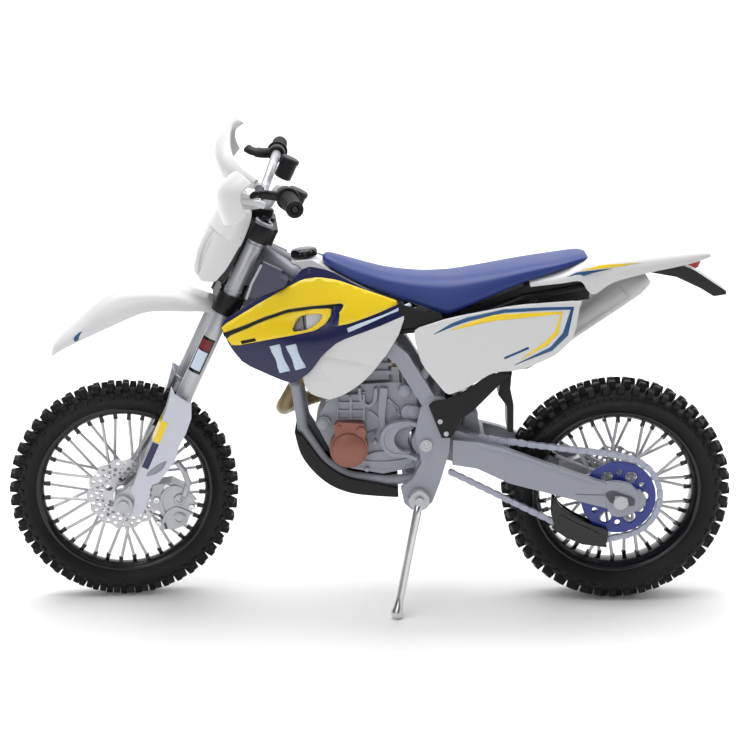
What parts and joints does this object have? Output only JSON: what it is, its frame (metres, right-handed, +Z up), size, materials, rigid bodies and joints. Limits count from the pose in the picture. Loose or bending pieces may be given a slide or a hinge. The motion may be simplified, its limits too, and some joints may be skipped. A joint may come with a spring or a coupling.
{
  "type": "motorcycle model",
  "caption": "Small display model of an off-road motorcycle with turning bars, sprung suspension, spoked rolling wheels and a folding side stand.",
  "frame": {"origin": "on the ground, at the middle of the model's outline", "axes": "+X forwards along the wheelbase, +Y to the rider's left, +Z up"},
  "size_m": [0.1806, 0.0772, 0.1168],
  "materials": {
    "grey_metal": "satin",
    "silver": "satin",
    "chrome": "polished",
    "black_plastic": "satin",
    "gloss_black": "gloss",
    "white_plastic": "gloss",
    "yellow_plastic": "gloss",
    "blue_seat": "matte",
    "blue_metal": "satin",
    "guard_plastic": "satin",
    "copper_cover": "satin",
    "bronze_pipe": "satin",
    "muffler_metal": "satin",
    "chain_plastic": "satin",
    "radiator": "satin",
    "red_lens": "gloss",
    "clear_lens": "clear",
    "rubber": "matte",
    "grip_rubber": "matte"
  },
  "bodies": {
    "chassis": {"main_frame": "grey_metal", "subframe": "black_plastic", "crankcase": "grey_metal", "cylinder": "grey_metal", "ignition_cover": "copper_cover", "clutch_cover": "grey_metal", "exhaust_header": "bronze_pipe", "muffler": "muffler_metal", "skid_plate": "black_plastic", "radiators": "radiator", "fuel_tank": "white_plastic", "fuel_cap": "gloss_black", "shroud_left": "yellow_plastic", "shroud_right": "yellow_plastic", "airbox": "black_plastic", "seat": "blue_seat", "rear_fender": "white_plastic", "side_panel_left": "white_plastic", "side_panel_right": "white_plastic", "plate_bracket": "gloss_black", "tail_lens": "red_lens", "frame_guards": "black_plastic", "pivot_bolts": "chrome", "body_screws": "chrome"},
    "shock_upper": {"shock_body": "black_plastic", "shock_spring": "chrome"},
    "shock_lower": {"shock_rod": "silver"},
    "swinging_arm": {"swingarm": "grey_metal", "chain": "chain_plastic", "chain_guide": "black_plastic", "rear_axle": "silver", "rear_caliper": "silver"},
    "rear_wheel": {"rear_tyre": "rubber", "rear_rim": "gloss_black", "rear_spokes": "chrome", "rear_hub": "silver", "rear_sprocket": "blue_metal", "rear_disc": "chrome"},
    "steering": {"lower_clamp": "black_plastic", "top_clamp": "black_plastic", "fork_tubes": "silver", "handlebar": "silver", "grips": "grip_rubber", "levers": "black_plastic", "hand_guards": "white_plastic", "headlight_mask": "white_plastic", "headlight_housing": "black_plastic", "headlight_lens": "clear_lens", "front_fender": "white_plastic"},
    "fork_sliders": {"fork_lowers": "silver", "fork_guards": "guard_plastic", "front_caliper": "silver", "front_axle": "silver"},
    "front_wheel": {"front_tyre": "rubber", "front_rim": "gloss_black", "front_spokes": "chrome", "front_hub": "silver", "front_disc": "chrome"},
    "stand": {"side_stand": "chrome"}
  },
  "joints": [
    {"name": "steering_turn", "type": "hinge", "parent": "chassis", "child": "steering", "pos_m": [0.03156, 0, 0.08274], "axis": [-0.4274, 0, 0.9041], "range_deg": [-36.2, 23.8]},
    {"name": "fork_travel", "type": "slide", "parent": "steering", "child": "fork_sliders", "axis": [-0.4274, 0, 0.9041], "range_m": [0, 0.004], "stiffness_N_per_m": 400, "springref_m": -0.005},
    {"name": "front_wheel_spin", "type": "hinge", "parent": "fork_sliders", "child": "front_wheel", "pos_m": [0.06178, 0.00045, 0.02849], "axis": [-0.0976, 0.9942, -0.0462], "continuous": true},
    {"name": "swingarm_travel", "type": "hinge", "parent": "chassis", "child": "swinging_arm", "pos_m": [-0.0138, 0, 0.0433], "axis": [0, 1, 0], "range_deg": [0, 6], "stiffness_Nm_per_rad": 0.5, "springref_deg": -11.46},
    {"name": "rear_wheel_spin", "type": "hinge", "parent": "swinging_arm", "child": "rear_wheel", "pos_m": [-0.0617, 0, 0.0286], "axis": [0, 1, 0], "continuous": true},
    {"name": "shock_swing", "type": "hinge", "parent": "chassis", "child": "shock_upper", "pos_m": [-0.0182, 0, 0.067], "axis": [0, 1, 0], "range_deg": [-0.4113, 0]},
    {"name": "shock_travel", "type": "slide", "parent": "shock_upper", "child": "shock_lower", "axis": [0.3489, 0, 0.9371], "range_m": [0, 0.00132], "deforming": ["shock_spring"]},
    {"name": "stand_fold", "type": "hinge", "parent": "chassis", "child": "stand", "pos_m": [-0.0122, 0.0115, 0.0295], "axis": [0, 1, 0], "range_deg": [0, 105]}
  ],
  "couplings": [
    {"joint": "shock_swing", "follows": "swingarm_travel", "ratio": -0.067202},
    {"joint": "shock_travel", "follows": "swingarm_travel", "m_per_rad": 0.012334}
  ]
}
